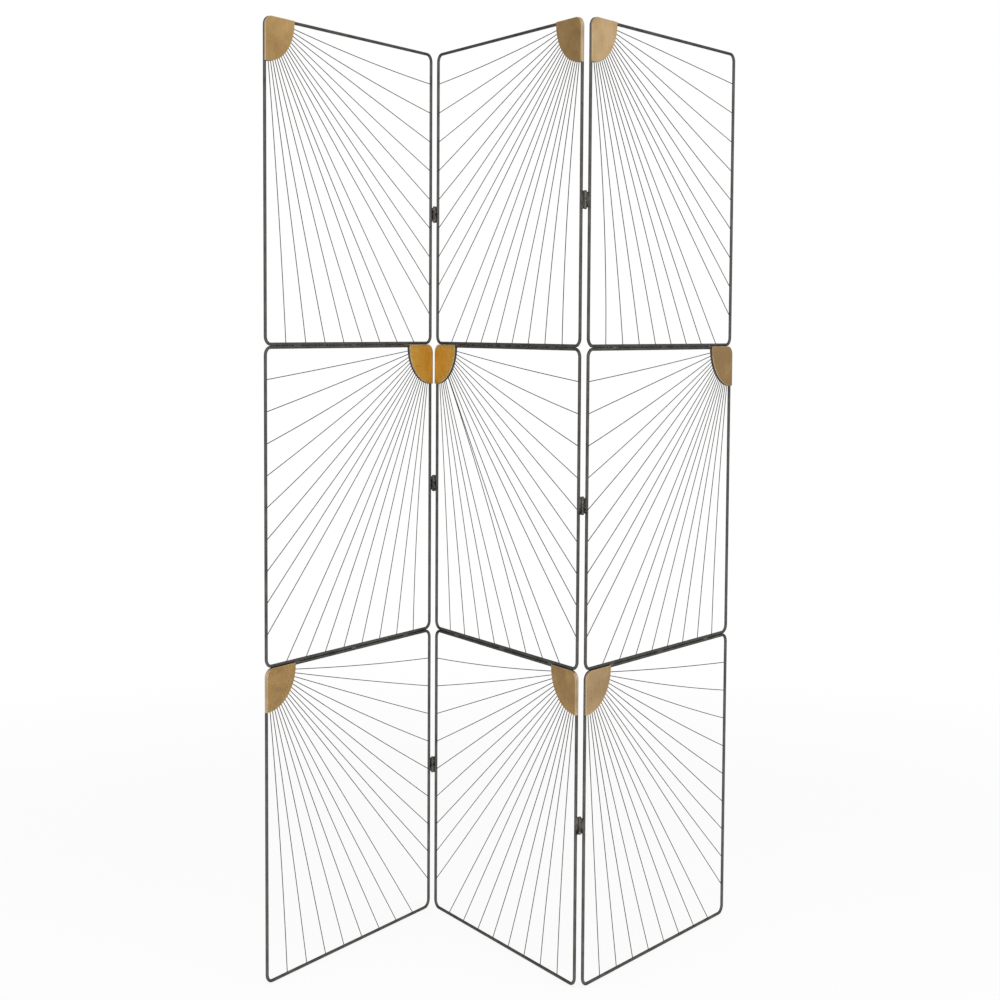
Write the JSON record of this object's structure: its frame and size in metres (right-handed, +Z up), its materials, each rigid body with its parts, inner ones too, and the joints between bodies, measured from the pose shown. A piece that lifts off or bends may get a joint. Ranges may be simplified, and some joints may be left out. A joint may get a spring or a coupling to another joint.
{
  "type": "folding room divider screen",
  "caption": "Folding screen of hinged rod-frame columns; in each frame thin wires fan out from a brass corner plate. It stands on its bottom rods.",
  "frame": {"origin": "on the floor, at the middle of the ground that the standing screen covers", "axes": "+Z up, -Y towards the front of the screen, +X to the right of someone who faces its front"},
  "size_m": [0.9318, 0.4628, 1.8301],
  "materials": {
    "rod": "satin",
    "plate": "brushed",
    "wire": "satin",
    "hinge": "satin",
    "pin": "satin"
  },
  "bodies": {
    "centre": {"centre_bottom_frame": "rod", "centre_bottom_arc": "rod", "centre_bottom_plate": "plate", "centre_bottom_wires": "wire", "centre_middle_frame": "rod", "centre_middle_arc": "rod", "centre_middle_plate": "plate", "centre_middle_wires": "wire", "centre_top_frame": "rod", "centre_top_arc": "rod", "centre_top_plate": "plate", "centre_top_wires": "wire", "left_seam_bottom_long_leaf": "hinge", "left_seam_bottom_pin": "pin", "left_seam_middle_long_leaf": "hinge", "left_seam_middle_pin": "pin", "left_seam_top_long_leaf": "hinge", "left_seam_top_pin": "pin", "right_seam_bottom_long_leaf": "hinge", "right_seam_bottom_pin": "pin", "right_seam_middle_long_leaf": "hinge", "right_seam_middle_pin": "pin", "right_seam_top_long_leaf": "hinge", "right_seam_top_pin": "pin"},
    "left": {"left_bottom_frame": "rod", "left_bottom_arc": "rod", "left_bottom_plate": "plate", "left_bottom_wires": "wire", "left_middle_frame": "rod", "left_middle_arc": "rod", "left_middle_plate": "plate", "left_middle_wires": "wire", "left_top_frame": "rod", "left_top_arc": "rod", "left_top_plate": "plate", "left_top_wires": "wire", "left_seam_bottom_short_leaf": "hinge", "left_seam_middle_short_leaf": "hinge", "left_seam_top_short_leaf": "hinge"},
    "right": {"right_bottom_frame": "rod", "right_bottom_arc": "rod", "right_bottom_plate": "plate", "right_bottom_wires": "wire", "right_middle_frame": "rod", "right_middle_arc": "rod", "right_middle_plate": "plate", "right_middle_wires": "wire", "right_top_frame": "rod", "right_top_arc": "rod", "right_top_plate": "plate", "right_top_wires": "wire", "right_seam_bottom_short_leaf": "hinge", "right_seam_middle_short_leaf": "hinge", "right_seam_top_short_leaf": "hinge"}
  },
  "joints": [
    {"name": "left_fold", "type": "hinge", "parent": "centre", "child": "left", "pos_m": [-0.1654, 0.22691, 0.915], "axis": [0, 0, 1], "range_deg": [-115, 65]},
    {"name": "right_fold", "type": "hinge", "parent": "centre", "child": "right", "pos_m": [0.132, -0.22637, 0.915], "axis": [0, 0, 1], "range_deg": [-111, 69]}
  ]
}
